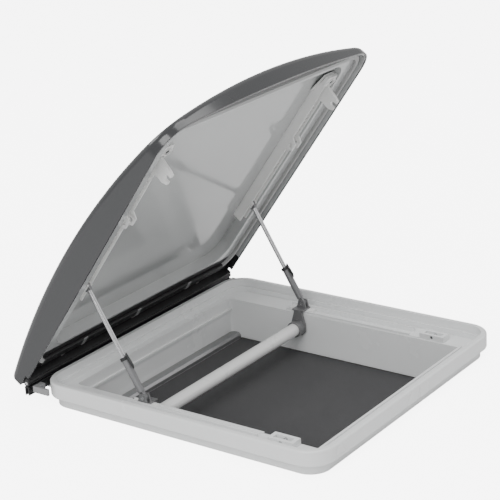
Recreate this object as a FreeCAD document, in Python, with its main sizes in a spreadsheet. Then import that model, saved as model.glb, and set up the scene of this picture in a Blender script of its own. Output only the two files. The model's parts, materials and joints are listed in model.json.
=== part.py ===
"""Deck hatch: a smoked, double-skinned lid on a moulded frame, pushed open by a cross bar.

The bar hangs between two carriages that slide in guides on the side ledges.  Each carriage
carries the foot of a strut as long as the lid's crank, so hinge axis, strut head and strut foot
always form a triangle with two equal sides.  The origin is the middle of the frame on the roof
surface, +X runs along the hinge, +Y points at the hinge and +Z is up.
"""
import FreeCAD, Part
import math
import os
import re
import Sketcher

Vector = FreeCAD.Vector

# ---------------------------------------------------------------- driving dimensions (mm, degrees)
SIZES = {
    # moulded frame
    "frame_width": 494, "frame_depth": 496, "frame_corner": 40, "opening_width": 388,
    "opening_depth": 434, "opening_corner": 5, "opening_shift": 4, "bead_width": 9,
    "bead_rise": 20, "step_width": 5, "step_rise": 8, "sill_width": 4, "sill_rise": 2.5,
    "ledge_level": 19, "ledge_thickness": 5, "lip_level": 15, "skirt_inset": 10,
    "skirt_wall": 4, "edge_round": 3, "neck_wall": 5, "neck_depth": 46, "seat_width": 22,
    "seal_thickness": 4, "rear_rib_drop": 17, "rear_rib_height": 4, "rear_rib_depth": 3,
    "fixing_inset": 12, "fixing_radius": 1.6, "fixing_depth": 9, "seal_squeeze": 0.05,
    # overlap of two pads that become one solid, and clearance of two pieces that stay apart
    "overlap": 1, "clearance": 0.5, "small_clearance": 0.3,
    # lid
    "lid_open": 54, "lid_width": 512, "lid_reach": 538, "lid_bow": 18, "lid_corner": 50,
    "lid_tail": 10, "dome_height": 71, "dome_round": 10, "dome_wall": 3,
    "pane_thickness": 3, "rim_lip": 1.5, "rim_lip_foot": 1, "crown_setback": 222,
    "crown_radius_across": 1524, "crown_radius_along": 1197,
    "crown_sweep": 26, "crown_spare": 30,
    "rim_shelf": 11, "rim_shelf_width": 32, "front_shelf_width": 21, "pane_level": 30,
    "pane_corner": 32, "lid_seal_gap": 0.3,
    "relief_depth": 7, "relief_gap": 1.5, "well_setback": 5, "seal_inset": 1,
    # hinge
    "hinge_setback": 19, "hinge_rise": 14, "hinge_pin_radius": 2.5, "barrel_radius": 5,
    "running_gap": 0.05, "knuckle_gap": 0.6, "leg_length": 11, "leg_thickness": 2.3,
    "leg_gap": 0.2, "saddle_thickness": 2, "saddle_gap": 0.6, "saddle_spare": 0.4, "web_gap": 1.2,
    "web_foot": 2, "web_thickness": 2.6, "barrel_flat": 0.2, "shelf_reach": 7, "pin_ends": 4,
    "end_cap": 4, "end_cap_reach": 10, "end_cap_drop": 3, "clip_setback": 4, "clip_share": 0.33,
    "hinge_rib": 3.4, "hinge_leaf": 38, "leaf_thickness": 2.6, "shelf_thickness": 4,
    "clip_width": 7, "clip_length": 10, "clip_height": 2,
    # linkage
    "strut_plane": 205, "strut_length": 183, "crank_lead": 5.5, "pivot_radius": 2.5,
    "eye_radius": 5.2, "eye_width": 5, "eye_side_gap": 0.4, "ear_thickness": 2.3,
    "sleeve_radius": 5.5, "sleeve_start": 9, "sleeve_end": 60, "rod_radius": 3.5, "fit_gap": 0.1,
    "bar_drop": 37, "bar_radius": 10.5, "bar_wall": 1.5, "bracket_thickness": 3,
    "wall_clearance": 2.5, "collar_radius": 13, "collar_length": 13, "shoe_length": 44,
    "shoe_thickness": 3, "carriage_plate": 2, "carriage_half": 11, "plate_waist": 7,
    "plate_waist_top": 10, "collar_shoulder_low": 6, "collar_shoulder_high": 7,
    "foot_ear_base": 9, "foot_ear_top": 5, "foot_ear_rise": 6, "plug_length": 16, "bore_reach": 9,
    "foot_shank": 3.5, "socket_depth": 8, "head_shank": 10, "clip_ring": 5, "ring_wall": 1,
    "arm_half": 1.5, "arm_lift": 2.4, "arm_low_lift": 0.4, "arm_high_lift": 4.4,
    "arm_reach": 16, "arm_step": 10, "arm_nose": 9,
    # guides and latches
    "guide_width": 19, "guide_wall": 3, "guide_base": 2, "guide_low_lip": 4.5,
    "guide_high_lip": 9, "slide_gap": 0.3, "guide_front_stop": 4, "latch_reach": 430,
    "latch_block_length": 42, "latch_block_height": 9.5, "latch_slot_length": 30,
    "latch_slot_width": 9, "keeper_radius": 2.5, "keeper_lift": 5.5, "hook_thickness": 5,
    "hook_width": 24, "hook_notch": 8, "hook_tip": 5, "hook_chamfer": 3, "hook_shoulder": 2,
    "hook_root_rear": 4, "hook_root_front": 8,
    # lid rails
    "rail_width": 18, "rail_wall": 2.5, "rail_height": 16, "rail_start": 146, "rail_end": 468,
    "lug_place": 325, "lug_length": 26, "lug_drop": 26, "lug_hole_radius": 3.5,
    "head_length": 40, "head_width": 30, "head_drop": 7.5, "rib_thickness": 2, "rib_first": 4,
    "rib_pitch": 6, "rib_inset": 1, "rib_drop": 1, "rib_top_drop": 3, "lug_bridge": 3,
    "lug_gusset": 1, "lug_hole_rise": 3,
    "clevis_base": 2.5, "clevis_base_half": 10, "clevis_ear_base": 8, "clevis_ear_top": 5,
    "clevis_ear_drop": 6, "clevis_gap": 0.1,
    # inner trim and blind
    "trim_gap": 0.2, "trim_height": 16, "trim_flange": 26, "trim_flange_thickness": 4,
    "groove_depth": 3, "groove_height": 3.3, "groove_lip": 1.5, "fabric_thickness": 1,
    "fabric_edge_gap": 0.5, "pull_bar_depth": 17, "pull_bar_height": 13, "pull_bar_gap": 0.5,
    "cassette_depth": 30, "cassette_height": 11.5, "cassette_wall": 1.5,
    "roller_radius": 4, "cassette_drop": 0.2, "fabric_tuck": 5, "fabric_bar_gap": 1.3,
    "pull_bar_drop": 2.5, "pull_bar_setback": 1, "pull_bar_chamfer": 5, "chamfer_depth": 4,
    # fasteners
    "screw_radius": 2, "screw_head_radius": 3.8, "screw_head_height": 1.4, "screw_length": 14,
    "cap_radius": 4.6, "cap_thickness": 0.8, "cap_gap": 0.05, "head_overlap": 0.2,
}

doc = FreeCAD.newDocument("DeckHatch")
sheet = doc.addObject("Spreadsheet::Sheet", "Sizes")
for row, (alias, number) in enumerate(SIZES.items(), start=1):
    sheet.set(f"A{row}", alias)
    sheet.set(f"B{row}", str(number))
    sheet.setAlias(f"B{row}", alias)
doc.recompute()

subparts = []
ROUGH_SIZE = 40.0                         # size of a sketch before its dimensions are bound
TOUCH = 0.001                             # tolerance when an edge is picked by its place


# ---------------------------------------------------------------- helpers
def linked(formula):
    """Point every size named in a formula at its cell in the spreadsheet."""
    return re.sub(r"[a-z_]+", lambda word: "<<Sizes>>." + word[0] if word[0] in SIZES else word[0],
                  str(formula))


def bind(item, path, formula):
    item.setExpression(path, linked(formula))


def place(x="0", y="0", z="0", turn="0"):
    """A placement at x, y, z, turned about the X direction."""
    return f"placement(vector({x}; {y}; {z}); rotation(vector(1; 0; 0); {turn}))"


def new_body(label, placement=None):
    body = doc.addObject("PartDesign::Body", label)
    body.Label = label
    if placement:
        bind(body, "Placement", placement)
    subparts.append(body)
    return body


def attached_sketch(body, plane, level):
    """A sketch on one of the body's own planes; level is its place along the normal (for XZ: y)."""
    sketch = body.newObject("Sketcher::SketchObject", body.Name + "_sketch")
    support = [item for item in body.Origin.OriginFeatures if item.Role == plane + "_Plane"]
    sketch.AttachmentSupport = [(support[0], "")]
    sketch.MapMode = "FlatFace"
    bind(sketch, "AttachmentOffset.Base.z", f"-({level})" if plane == "XZ" else level)
    return sketch


def hold_point(sketch, geometry, end, x, y):
    """Dimension one point of the sketch from the sketch's origin."""
    for kind, formula in (("DistanceX", x), ("DistanceY", y)):
        point = sketch.getPoint(geometry, end)
        start = point.x if kind == "DistanceX" else point.y
        index = sketch.addConstraint(Sketcher.Constraint(kind, -1, 1, geometry, end, start))
        bind(sketch, f"Constraints[{index}]", formula)


def draw_outline(sketch, points):
    """A closed outline of straight lines through the given points."""
    count = len(points)
    for number in range(count):
        sketch.addGeometry(Part.LineSegment(Vector(number, number ** 2, 0),
                                            Vector(number + 1, (number + 1) ** 2, 0)), False)
    for number in range(count):
        sketch.addConstraint(Sketcher.Constraint("Coincident", number, 2, (number + 1) % count, 1))
    for number, (x, y) in enumerate(points):
        hold_point(sketch, number, 1, x, y)


def draw_rounded(sketch, points, corner):
    """A rectangle with rounded corners, drawn about its own middle from a rough first sketch."""
    (left, front), _, (right, rear), _ = points
    half_x = f"(({right}) - ({left})) / 2"
    half_y = f"(({rear}) - ({front})) / 2"
    bind(sketch, "AttachmentOffset.Base.x", f"(({left}) + ({right})) / 2")
    bind(sketch, "AttachmentOffset.Base.y", f"(({front}) + ({rear})) / 2")
    start, turn = ROUGH_SIZE, math.pi / 2
    lines = [(-4, -5, 4, -5), (5, -4, 5, 4), (4, 5, -4, 5), (-5, 4, -5, -4)]
    middles = [(4, -4), (4, 4), (-4, 4), (-4, -4)]
    for number in range(4):
        x0, y0, x1, y1 = (start * value for value in lines[number])
        sketch.addGeometry(Part.LineSegment(Vector(x0, y0, 0), Vector(x1, y1, 0)), False)
        x, y = (start * value for value in middles[number])
        circle = Part.Circle(Vector(x, y, 0), Vector(0, 0, 1), start)
        sketch.addGeometry(Part.ArcOfCircle(circle, (number - 1) * turn, number * turn), False)
    for number in range(4):
        line, arc, following = 2 * number, 2 * number + 1, (2 * number + 2) % 8
        sketch.addConstraint(Sketcher.Constraint("Coincident", line, 2, arc, 1))
        index = sketch.addConstraint(Sketcher.Constraint("Radius", arc, ROUGH_SIZE))
        bind(sketch, f"Constraints[{index}]", corner)
        sketch.addConstraint(Sketcher.Constraint("Coincident", arc, 2, following, 1))
    in_x, in_y = f"({half_x} - ({corner}))", f"({half_y} - ({corner}))"
    ends = [(f"-{in_x}", f"-{half_y}"), (in_x, f"-{half_y}"), (half_x, f"-{in_y}"), (half_x, in_y),
            (in_x, half_y), (f"-{in_x}", half_y), (f"-{half_x}", in_y), (f"-{half_x}", f"-{in_y}")]
    for number, (x, y) in enumerate(ends):
        hold_point(sketch, number - number % 2, 1 + number % 2, x, y)


def draw_circles(sketch, circles):
    """Circles given as x, y and radius."""
    for number, (x, y, radius) in enumerate(circles):
        sketch.addGeometry(Part.Circle(Vector(9 * number, 5, 0), Vector(0, 0, 1), 2), False)
        index = sketch.addConstraint(Sketcher.Constraint("Radius", number, 2.0))
        bind(sketch, f"Constraints[{index}]", radius)
        hold_point(sketch, number, 3, x, y)


def feature(body, kind, sketch, length):
    item = body.newObject("PartDesign::" + kind, f"{body.Name}_{kind}")
    item.Profile = sketch
    bind(item, "Length", length)
    body.Tip = item
    return item


def draw(sketch, points, corner):
    if corner:
        draw_rounded(sketch, points, corner)
    else:
        draw_outline(sketch, points)


def pad(body, plane, level, length, points, corner=None):
    sketch = attached_sketch(body, plane, level)
    draw(sketch, points, corner)
    return feature(body, "Pad", sketch, length)


def pocket(body, plane, level, length, points, corner=None):
    """Cut from level against the plane's normal (downwards, towards -X, or towards +Y)."""
    sketch = attached_sketch(body, plane, level)
    draw(sketch, points, corner)
    return feature(body, "Pocket", sketch, length)


def round_pad(body, plane, level, length, circles):
    sketch = attached_sketch(body, plane, level)
    draw_circles(sketch, circles)
    return feature(body, "Pad", sketch, length)


def round_pocket(body, plane, level, length, circles):
    sketch = attached_sketch(body, plane, level)
    draw_circles(sketch, circles)
    return feature(body, "Pocket", sketch, length)


def rectangle(left, right, front, rear):
    return [(left, front), (right, front), (right, rear), (left, rear)]


def centred(width, depth, shift="0"):
    """A rectangle about the middle of the frame, moved back by shift."""
    half = f"({depth}) / 2"
    return rectangle(f"-({width}) / 2", f"({width}) / 2", f"{shift} - {half}", f"{shift} + {half}")


def upright(edge):
    """True for a straight edge that runs along the body's own Z."""
    way = edge.lastVertex().Point - edge.firstVertex().Point
    return len(edge.Vertexes) == 2 and abs(way.x) + abs(way.y) < TOUCH


def flat_at(edge, level):
    """True for an edge that lies level at the given height in the body's own frame."""
    return abs(edge.BoundBox.ZMin - level) < TOUCH and abs(edge.BoundBox.ZMax - level) < TOUCH


def round_edges(body, radius, chosen):
    """Round the edges that the test picks out of the body's last feature."""
    doc.recompute()
    base = body.Tip
    names = [f"Edge{number}" for number, edge in enumerate(base.Shape.Edges, start=1) if chosen(edge)]
    item = body.newObject("PartDesign::Fillet", body.Name + "_fillet")
    item.Base = (base, names)
    bind(item, "Radius", radius)
    body.Tip = item
    return item


def side_of(side, start, width):
    """Where a pad along X starts, for a piece at start..start + width on the right, or its mirror."""
    return start if side > 0 else f"-(({start}) + ({width}))"


def far_side(side, start, width):
    """Where a cut towards -X starts, through start..start + width on the right, or its mirror."""
    return f"({start}) + ({width})" if side > 0 else f"-({start})"


def mirrored(side, points):
    return [(f"{side} * ({x})", y) for x, y in points]


def group(label, solids):
    """Several equal fasteners kept as one sub-part."""
    item = doc.addObject("Part::Compound", label)
    item.Label = label
    item.Links = solids
    subparts.append(item)
    return item


def cylinder(name, radius, length, placement):
    item = doc.addObject("Part::Cylinder", name)
    bind(item, "Radius", radius)
    bind(item, "Height", length)
    bind(item, "Placement", placement)
    return item


# ---------------------------------------------------------------- shared places
SIDES = {"left": -1, "right": 1}
hinge_y = "(frame_depth / 2 + hinge_setback)"
hinge_z = "(ledge_level + hinge_rise)"
bead_top = "(ledge_level + bead_rise)"
crank_angle = "(lid_open + crank_lead)"
foot_y = f"({hinge_y} - 2 * strut_length * cos({crank_angle}))"
foot_y_shut = f"({hinge_y} - 2 * strut_length * cos(crank_lead))"
head_y = "(-strut_length * cos(crank_lead))"
head_z = "(strut_length * sin(crank_lead))"
guide_inner = "(strut_plane - guide_width / 2)"
guide_outer = "(strut_plane + guide_width / 2)"
rail_inner = "(strut_plane - rail_width / 2)"
rail_outer = "(strut_plane + rail_width / 2)"
rail_foot = "(pane_level - rail_height)"
keeper_y = f"({hinge_y} - latch_reach)"
keeper_z = "(ledge_level + keeper_lift)"
opening_front = "(opening_shift - opening_depth / 2)"
opening_rear = "(opening_shift + opening_depth / 2)"
neck_foot = "(-neck_depth)"
trim_top = "(-neck_depth - trim_gap)"
trim_foot = "(-neck_depth - trim_gap - trim_height)"
groove_top = f"({trim_top} - groove_lip)"
fabric_z = f"({groove_top} - groove_height / 2 - fabric_thickness / 2)"
hinge_length = "(lid_width - pin_ends)"
plate_face = "(opening_width / 2 - wall_clearance)"
web_inner = "(-barrel_radius - web_gap)"
saddle_foot = "(-barrel_radius - saddle_gap - saddle_thickness)"
leg_foot = f"({saddle_foot} - saddle_spare - leg_length)"
ear_inner = "(eye_width / 2 + eye_side_gap)"
neck_width = "(opening_width + 2 * neck_wall)"
neck_length = "(opening_depth + 2 * neck_wall)"
LID = place("0", hinge_y, hinge_z, "-lid_open")
CARRIAGE = place("0", foot_y, hinge_z)


def strut_place(side):
    return place(f"{side} * strut_plane", foot_y, hinge_z, crank_angle)


# ---------------------------------------------------------------- frame
def make_base_frame():
    body = new_body("base_frame")
    skirt_width = "(frame_width - 2 * skirt_inset)"
    skirt_depth = "(frame_depth - 2 * skirt_inset)"
    pad(body, "XY", "0", bead_top, centred(skirt_width, skirt_depth), "(frame_corner - skirt_inset)")
    pad(body, "XY", "lip_level", f"{bead_top} - lip_level", centred("frame_width", "frame_depth"),
        "frame_corner")
    for level in (SIZES["ledge_level"] + SIZES["bead_rise"], SIZES["lip_level"]):
        widest = SIZES["frame_width"] / 2 - SIZES["skirt_inset"] / 2
        round_edges(body, "edge_round", lambda edge: flat_at(edge, level)
                    and max(abs(edge.BoundBox.XMax), abs(edge.BoundBox.XMin),
                            abs(edge.BoundBox.YMax), abs(edge.BoundBox.YMin)) > widest)
    # the bead's inner side goes down to the ledge in two steps
    for level, depth, wall in ((bead_top, "bead_rise - step_rise", "bead_width"),
                               ("(ledge_level + step_rise)", "step_rise",
                                "(bead_width + step_width)")):
        pocket(body, "XY", level, depth,
               centred(f"frame_width - 2 * {wall}", f"frame_depth - 2 * {wall}"),
               f"(frame_corner - {wall})")
    hollow_top = "(ledge_level - ledge_thickness)"
    pocket(body, "XY", hollow_top, hollow_top,
           centred(f"{skirt_width} - 2 * skirt_wall", f"{skirt_depth} - 2 * skirt_wall"),
           "(frame_corner - skirt_inset - skirt_wall)")
    pad(body, "XY", "seal_thickness", f"{hollow_top} - seal_thickness",
        rectangle(f"-{neck_width} / 2 - seat_width", f"{neck_width} / 2 + seat_width",
                  f"-{skirt_depth} / 2 + skirt_wall / 2", f"{skirt_depth} / 2 - skirt_wall / 2"),
        "opening_corner")
    pad(body, "XY", neck_foot, "neck_depth + ledge_level",
        centred(neck_width, neck_length, "opening_shift"), "(opening_corner + neck_wall)")
    pocket(body, "XY", "ledge_level", "ledge_level + neck_depth",
           centred("opening_width", "opening_depth", "opening_shift"), "opening_corner")
    # low sill along the front of the opening
    pad(body, "XY", "ledge_level - overlap", "sill_rise + overlap",
        rectangle("-opening_width / 2 - overlap", "opening_width / 2 + overlap",
                  f"{opening_front} - sill_width", opening_front))
    # rib across the rear wall, above the blind
    pad(body, "XY", "ledge_level - rear_rib_drop - rear_rib_height", "rear_rib_height",
        rectangle("-opening_width / 2 - overlap", "opening_width / 2 + overlap",
                  f"{opening_rear} - rear_rib_depth", f"{opening_rear} + overlap"))
    # shelf and upright rib that the hinge profile clips over
    shelf_top = f"({hinge_z} + {leg_foot} - overlap)"
    pad(body, "XY", f"{shelf_top} - shelf_thickness", "shelf_thickness",
        rectangle("-frame_width / 2 + frame_corner", "frame_width / 2 - frame_corner",
                  "frame_depth / 2 - skirt_inset - overlap", f"{hinge_y} + shelf_reach"))
    pad(body, "XY", f"{shelf_top} - overlap", "leg_length + overlap",
        rectangle("-frame_width / 2 + frame_corner", "frame_width / 2 - frame_corner",
                  f"{hinge_y} - hinge_rib / 2", f"{hinge_y} + hinge_rib / 2"))
    # pilot holes for the roof screws
    holes = [(f"{x} * (opening_width / 2 + neck_wall + fixing_inset)",
              f"opening_shift + {y} * (opening_depth / 2 - 4 * fixing_inset)", "fixing_radius")
             for x in (-1, 1) for y in (-1, 1)]
    round_pocket(body, "XY", "seal_thickness + fixing_depth", "fixing_depth", holes)


def make_bedding_seal():
    body = new_body("bedding_seal")
    clear = "2 * (neck_wall + clearance)"
    pad(body, "XY", "0", "seal_thickness - seal_squeeze",
        centred(f"opening_width + {clear} + 2 * seat_width",
                "frame_depth - 2 * skirt_inset - 2 * skirt_wall - 2 * clearance"),
        "(frame_corner - skirt_inset - skirt_wall)")
    pocket(body, "XY", "seal_thickness", "seal_thickness",
           centred(f"opening_width + {clear}", f"opening_depth + {clear}", "opening_shift"))


def make_guide(name, side):
    body = new_body("guide_rail_" + name)
    rear = f"({foot_y} + shoe_length / 2 + guide_front_stop)"
    front = f"({foot_y_shut} - shoe_length / 2 - guide_front_stop)"
    floor = "(ledge_level + guide_base)"
    section = [(guide_inner, "ledge_level"), (guide_outer, "ledge_level"),
               (guide_outer, "ledge_level + guide_high_lip"),
               (f"{guide_outer} - guide_wall", "ledge_level + guide_high_lip"),
               (f"{guide_outer} - guide_wall", floor), (f"{guide_inner} + guide_wall", floor),
               (f"{guide_inner} + guide_wall", "ledge_level + guide_low_lip"),
               (guide_inner, "ledge_level + guide_low_lip")]
    pad(body, "XZ", rear, f"{rear} - {front}", mirrored(side, section))
    block_rear = f"({keeper_y} + latch_block_length / 2)"
    bridge = rectangle(guide_inner, guide_outer, "ledge_level", floor)
    pad(body, "XZ", front, f"{front} - {block_rear} + overlap", mirrored(side, bridge))
    block = rectangle(guide_inner, guide_outer, "ledge_level", "ledge_level + latch_block_height")
    pad(body, "XZ", block_rear, "latch_block_length", mirrored(side, block))
    slot = rectangle("strut_plane - latch_slot_width / 2", "strut_plane + latch_slot_width / 2",
                     f"{keeper_y} - latch_slot_length / 2", f"{keeper_y} + latch_slot_length / 2")
    pocket(body, "XY", "ledge_level + latch_block_height", "latch_block_height",
           mirrored(side, slot))
    bore = [(keeper_y, keeper_z, "keeper_radius + running_gap")]
    round_pocket(body, "YZ", far_side(side, guide_inner, "guide_width"), "guide_width", bore)


def make_keeper(name, side):
    body = new_body("latch_keeper_" + name)
    length = "guide_width - 2 * clearance"
    round_pad(body, "YZ", side_of(side, f"{guide_inner} + clearance", length), length,
              [(keeper_y, keeper_z, "keeper_radius")])


# ---------------------------------------------------------------- hinge
KNUCKLES = 7
knuckle_pitch = f"({hinge_length} / {KNUCKLES})"


def knuckle_start(number):
    return f"(-{hinge_length} / 2 + {number} * {knuckle_pitch} + knuckle_gap / 2)"


def make_frame_hinge():
    body = new_body("hinge_profile_frame", place("0", hinge_y, hinge_z))
    inner = "(hinge_rib / 2 + leg_gap)"
    outer = f"({inner} + leg_thickness)"
    saddle_top = "(-barrel_radius - saddle_gap)"
    section = [(f"-{outer}", leg_foot), (f"-{inner}", leg_foot), (f"-{inner}", saddle_foot),
               (inner, saddle_foot), (inner, leg_foot), (outer, leg_foot),
               (outer, saddle_top), (f"-{outer}", saddle_top)]
    pad(body, "YZ", f"-{hinge_length} / 2", hinge_length, section)
    for number in range(1, KNUCKLES, 2):
        length = f"{knuckle_pitch} - knuckle_gap"
        pad(body, "YZ", knuckle_start(number), length,
            rectangle("-barrel_radius / 2", "barrel_radius / 2", f"{saddle_top} - saddle_spare", "0"))
        round_pad(body, "YZ", knuckle_start(number), length, [("0", "0", "barrel_radius")])
    round_pocket(body, "YZ", f"{hinge_length} / 2", hinge_length,
                 [("0", "0", "hinge_pin_radius + running_gap")])


def make_lid_hinge():
    body = new_body("hinge_profile_lid", LID)
    leaf_top = "(rim_shelf + leaf_thickness)"
    leaf_length = "(lid_width - 2 * dome_wall - 2 * overlap)"
    web_outer = f"({web_inner} - web_thickness)"
    section = [(web_inner, "-web_foot"), (web_inner, leaf_top),
               (f"{web_inner} - hinge_leaf", leaf_top), (f"{web_inner} - hinge_leaf", "rim_shelf"),
               (web_outer, "rim_shelf"), (web_outer, "-web_foot")]
    pad(body, "YZ", f"-{leaf_length} / 2", leaf_length, section)
    for number in range(0, KNUCKLES, 2):
        length = f"{knuckle_pitch} - knuckle_gap"
        pad(body, "YZ", knuckle_start(number), length,
            rectangle(f"{web_inner} - overlap", "0", "clearance - web_foot",
                      "barrel_radius - barrel_flat"))
        round_pad(body, "YZ", knuckle_start(number), length, [("0", "0", "barrel_radius")])
    round_pocket(body, "YZ", f"{hinge_length} / 2", hinge_length,
                 [("0", "0", "hinge_pin_radius + running_gap")])


def make_hinge_details():
    body = new_body("hinge_pin", place("0", hinge_y, hinge_z))
    round_pad(body, "YZ", f"-{hinge_length} / 2", hinge_length, [("0", "0", "hinge_pin_radius")])
    for name, side in SIDES.items():
        cap = new_body("hinge_end_cap_" + name)
        foot, top = "ledge_level + overlap", f"{hinge_z} - end_cap_drop"
        rear = f"{hinge_y} - end_cap_reach"
        pad(cap, "YZ", side_of(side, "frame_width / 2 + small_clearance", "end_cap"), "end_cap",
            rectangle("frame_depth / 2 - frame_corner / 2", rear, foot, top))
        length = "frame_corner / 3 + overlap"
        pad(cap, "YZ", side_of(side, "frame_width / 2 - frame_corner / 3", length), length,
            rectangle("frame_depth / 2 + small_clearance", rear, foot, top))
    clips = []
    for number, place_in_row in enumerate((-1, 0, 1), start=1):
        clip = doc.addObject("Part::Box", f"hinge_clip_{number}")
        bind(clip, "Length", "clip_width")
        bind(clip, "Width", "clip_length")
        bind(clip, "Height", "clip_height")
        bind(clip, "Placement", place(f"{place_in_row} * clip_share * lid_width - clip_width / 2",
                                      "-barrel_radius - clip_setback - clip_length",
                                      "rim_shelf - clip_height"))
        clips.append(clip)
    bind(group("hinge_clips", clips), "Placement", LID)


# ---------------------------------------------------------------- lid
def lid_solid(body, inset, height, foot):
    """The lid's outline, bowed at the free edge, raised from foot and rounded over at the top."""
    sketch = attached_sketch(body, "XY", foot)
    half = f"(lid_width / 2 - {inset})"
    corner = f"(-lid_reach + lid_bow + {inset})"
    tail = f"(lid_tail - {inset})"
    width, reach, back = SIZES["lid_width"] / 2, SIZES["lid_reach"], SIZES["lid_tail"]
    shoulder = reach - SIZES["lid_bow"]
    corners = [Vector(width, -shoulder, 0), Vector(width, back, 0), Vector(-width, back, 0),
               Vector(-width, -shoulder, 0)]
    for start, end in zip(corners, corners[1:]):
        sketch.addGeometry(Part.LineSegment(start, end), False)
    sketch.addGeometry(Part.Arc(corners[3], Vector(0, -reach, 0), corners[0]), False)
    for number in range(4):
        sketch.addConstraint(Sketcher.Constraint("Coincident", number, 2, (number + 1) % 4, 1))
    hold_point(sketch, 0, 1, half, corner)
    hold_point(sketch, 0, 2, half, tail)
    hold_point(sketch, 1, 2, f"-{half}", tail)
    hold_point(sketch, 2, 2, f"-{half}", corner)
    rough_bow = (width ** 2 + SIZES["lid_bow"] ** 2) / (2 * SIZES["lid_bow"])
    index = sketch.addConstraint(Sketcher.Constraint("Radius", 3, rough_bow))
    bind(sketch, f"Constraints[{index}]", f"({half} * {half} + lid_bow * lid_bow) / (2 * lid_bow)")
    feature(body, "Pad", sketch, height)
    round_edges(body, f"lid_corner - {inset}",
                lambda edge: upright(edge) and edge.BoundBox.YMax < 0)


def cut_to_crown(body, drop):
    """Cut away all that stands above the crown, which is lower by drop than the dome's own top.

    The crown is an arc in side view, swept about an axis along Y that lies far below it.
    """
    sketch = attached_sketch(body, "YZ", "0")
    axis_z = "(dome_height - crown_radius_across)"
    bind(sketch, "AttachmentOffset.Base.y", axis_z)
    across, along = SIZES["crown_radius_across"], SIZES["crown_radius_along"]
    middle, spare = -SIZES["crown_setback"], SIZES["crown_spare"]
    front, rear = -SIZES["lid_reach"] - spare, SIZES["lid_tail"] + spare

    def on_arc(y):
        return Vector(y, across - along + math.sqrt(along ** 2 - (y - middle) ** 2), 0)

    corners = [on_arc(front), Vector(front, across + spare, 0), Vector(rear, across + spare, 0),
               on_arc(rear)]
    for start, end in zip(corners, corners[1:]):
        sketch.addGeometry(Part.LineSegment(start, end), False)
    sketch.addGeometry(Part.Arc(corners[3], on_arc(middle), corners[0]), False)
    for number in range(3):
        sketch.addConstraint(Sketcher.Constraint("Coincident", number, 2, number + 1, 1))
    sketch.addConstraint(Sketcher.Constraint("Coincident", 3, 2, 0, 1))
    top = "crown_radius_across + crown_spare"
    hold_point(sketch, 0, 2, "-lid_reach - crown_spare", top)
    hold_point(sketch, 1, 2, "lid_tail + crown_spare", top)
    hold_point(sketch, 3, 3, "-crown_setback", "crown_radius_across - crown_radius_along")
    index = sketch.addConstraint(Sketcher.Constraint("Radius", 3, along))
    bind(sketch, f"Constraints[{index}]", f"crown_radius_along - ({drop})")
    for number, end, formula, y in ((0, 1, "-lid_reach - crown_spare", front),
                                    (2, 2, "lid_tail + crown_spare", rear)):
        index = sketch.addConstraint(Sketcher.Constraint("DistanceX", -1, 1, number, end, y))
        bind(sketch, f"Constraints[{index}]", formula)
    item = body.newObject("PartDesign::Groove", body.Name + "_Groove")
    item.Profile = sketch
    item.ReferenceAxis = (sketch, ["H_Axis"])
    bind(item, "Angle", "crown_sweep")
    item.Midplane = True
    body.Tip = item
    return item


def dome_solid(body, inset, foot):
    """The lid's outline raised to the crown and rounded over along its top edge."""
    lid_solid(body, inset, f"dome_height - ({inset}) - ({foot})", foot)
    cut_to_crown(body, inset)
    round_edges(body, f"dome_round - ({inset})",
                lambda edge: not upright(edge) and edge.BoundBox.ZMax > SIZES["overlap"])


def make_dome():
    outer = doc.addObject("PartDesign::Body", "dome_outer")
    dome_solid(outer, "0", "0")
    inner = doc.addObject("PartDesign::Body", "dome_inner")
    dome_solid(inner, "dome_wall", "-overlap")
    relief = doc.addObject("Part::Box", "hinge_relief")
    bind(relief, "Length", "lid_width + 2 * overlap")
    bind(relief, "Width", "lid_tail + barrel_radius + relief_depth + overlap")
    bind(relief, "Height", "barrel_radius + relief_gap + overlap")
    bind(relief, "Placement", place("-lid_width / 2 - overlap", "-barrel_radius - relief_depth",
                                    "-overlap"))
    void = doc.addObject("Part::MultiFuse", "dome_void")
    void.Shapes = [inner, relief]
    dome = doc.addObject("Part::Cut", "lid_dome")
    dome.Base = outer
    dome.Tool = void
    dome.Label = "lid_dome"
    bind(dome, "Placement", LID)
    subparts.append(dome)


shelf_inner = "(frame_width / 2 - rim_shelf_width)"
well_front = f"(-{hinge_y} - frame_depth / 2 + front_shelf_width)"
well_rear = f"({web_inner} - hinge_leaf - well_setback)"


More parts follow.
